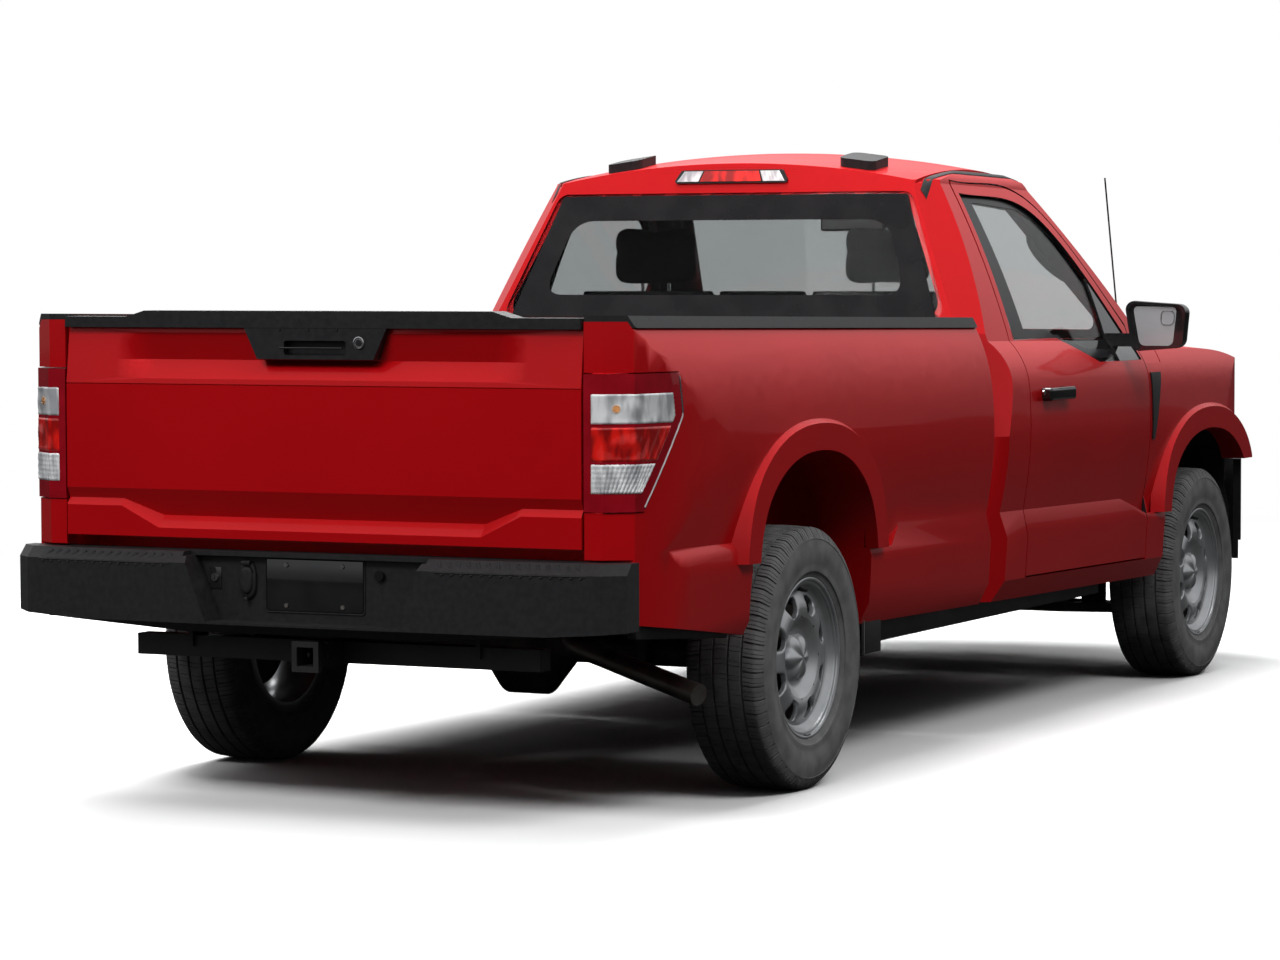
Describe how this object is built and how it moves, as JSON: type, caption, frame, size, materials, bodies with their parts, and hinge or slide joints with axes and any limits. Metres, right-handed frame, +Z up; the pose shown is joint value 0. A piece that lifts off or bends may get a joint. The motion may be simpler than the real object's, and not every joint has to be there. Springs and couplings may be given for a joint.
{
  "type": "pickup truck",
  "caption": "Full-size pickup truck with a regular cab, long load box, pierced steel wheels, tailgate, step bumper with tow receiver, and working doors, hood and steering.",
  "frame": {"origin": "on the ground, on the centreline, halfway along the vehicle", "axes": "+X to the vehicle's left, +Y to its rear, +Z up; the nose points along -Y"},
  "size_m": [2.4294, 5.7839, 1.8919],
  "materials": {
    "paint_red": "gloss clear coat",
    "black_plastic": "fine grained",
    "gloss_black": "gloss",
    "clear_glass": "clear, slightly green",
    "dark_glass": "dark tint",
    "lamp_lens": "clear moulded lens",
    "lamp_red": "gloss lens",
    "wheel_silver": "satin silver lacquer",
    "tyre": "black rubber",
    "frame_black": "satin wax coat",
    "raw_iron": "as cast, lightly rusted",
    "pipe_steel": "heat dulled",
    "core_aluminium": "plain",
    "seat_cloth": "woven cloth",
    "cabin_plastic": "grained"
  },
  "bodies": {
    "body": {"chassis_frame": "frame_black", "front_suspension": "frame_black", "rear_axle": "raw_iron", "rear_springs": "frame_black", "exhaust": "pipe_steel", "fuel_tank": "black_plastic", "engine_block": "core_aluminium", "radiator": "core_aluminium", "front_bumper": "black_plastic", "grille": "black_plastic", "headlamps": "lamp_lens", "fender_left": "paint_red", "fender_right": "paint_red", "wheel_liners": "black_plastic", "cab_shell": "paint_red", "roof": "paint_red", "windshield": "clear_glass", "rear_window": "dark_glass", "dashboard": "cabin_plastic", "seats": "seat_cloth", "box_floor": "paint_red", "box_side_left": "paint_red", "box_side_right": "paint_red", "rail_caps": "black_plastic", "tail_lamps": "lamp_red", "rear_bumper": "black_plastic", "outer_trim": "black_plastic"},
    "hood": {"hood": "paint_red"},
    "tailgate": {"tailgate": "paint_red", "tailgate_trim": "black_plastic"},
    "steering_wheel": {"steering_wheel": "cabin_plastic"},
    "tie_rods": {"tie_rods": "pipe_steel"},
    "door_left": {"door_left": "paint_red", "door_glass_left": "clear_glass", "door_fittings_left": "gloss_black"},
    "knuckle_left": {"knuckle_left": "raw_iron"},
    "wheel_front_left": {"tyre_front_left": "tyre", "rim_front_left": "wheel_silver"},
    "wheel_rear_left": {"tyre_rear_left": "tyre", "rim_rear_left": "wheel_silver"},
    "door_right": {"door_right": "paint_red", "door_glass_right": "clear_glass", "door_fittings_right": "gloss_black"},
    "knuckle_right": {"knuckle_right": "raw_iron"},
    "wheel_front_right": {"tyre_front_right": "tyre", "rim_front_right": "wheel_silver"},
    "wheel_rear_right": {"tyre_rear_right": "tyre", "rim_rear_right": "wheel_silver"}
  },
  "joints": [
    {"name": "steer_left", "type": "hinge", "parent": "body", "child": "knuckle_left", "pos_m": [0.7825, -1.934, 0.382], "axis": [0, 0, 1], "range_deg": [-33, 33]},
    {"name": "spin_front_left", "type": "hinge", "parent": "knuckle_left", "child": "wheel_front_left", "pos_m": [0.8625, -1.934, 0.382], "axis": [1, 0, 0], "continuous": true},
    {"name": "spin_rear_left", "type": "hinge", "parent": "body", "child": "wheel_rear_left", "pos_m": [0.8675, 1.66, 0.382], "axis": [1, 0, 0], "continuous": true},
    {"name": "door_left_hinge", "type": "hinge", "parent": "body", "child": "door_left", "pos_m": [0.99, -1.228, 0.9], "axis": [0, 0, -1], "range_deg": [0, 65]},
    {"name": "steer_right", "type": "hinge", "parent": "body", "child": "knuckle_right", "pos_m": [-0.7825, -1.934, 0.382], "axis": [0, 0, 1], "range_deg": [-33, 33]},
    {"name": "spin_front_right", "type": "hinge", "parent": "knuckle_right", "child": "wheel_front_right", "pos_m": [-0.8625, -1.934, 0.382], "axis": [1, 0, 0], "continuous": true},
    {"name": "spin_rear_right", "type": "hinge", "parent": "body", "child": "wheel_rear_right", "pos_m": [-0.8675, 1.66, 0.382], "axis": [1, 0, 0], "continuous": true},
    {"name": "door_right_hinge", "type": "hinge", "parent": "body", "child": "door_right", "pos_m": [-0.99, -1.228, 0.9], "axis": [0, 0, 1], "range_deg": [0, 65]},
    {"name": "hood_hinge", "type": "hinge", "parent": "body", "child": "hood", "pos_m": [0, -1.545, 1.209], "axis": [-1, 0, 0], "range_deg": [0, 50]},
    {"name": "tailgate_hinge", "type": "hinge", "parent": "body", "child": "tailgate", "pos_m": [0, 2.75, 0.79], "axis": [-1, 0, 0], "range_deg": [0, 90]},
    {"name": "steering_wheel_turn", "type": "hinge", "parent": "body", "child": "steering_wheel", "pos_m": [0.4, -0.93, 1.062], "axis": [0, 0.9135, 0.4067], "range_deg": [-528, 528]},
    {"name": "rack_slide", "type": "slide", "parent": "body", "child": "tie_rods", "axis": [1, 0, 0], "range_m": [-0.067, 0.067]}
  ],
  "couplings": [
    {"joint": "steer_right", "follows": "steer_left", "ratio": 1},
    {"joint": "rack_slide", "follows": "steer_left", "m_per_rad": 0.1135},
    {"joint": "steering_wheel_turn", "follows": "steer_left", "ratio": 16}
  ]
}
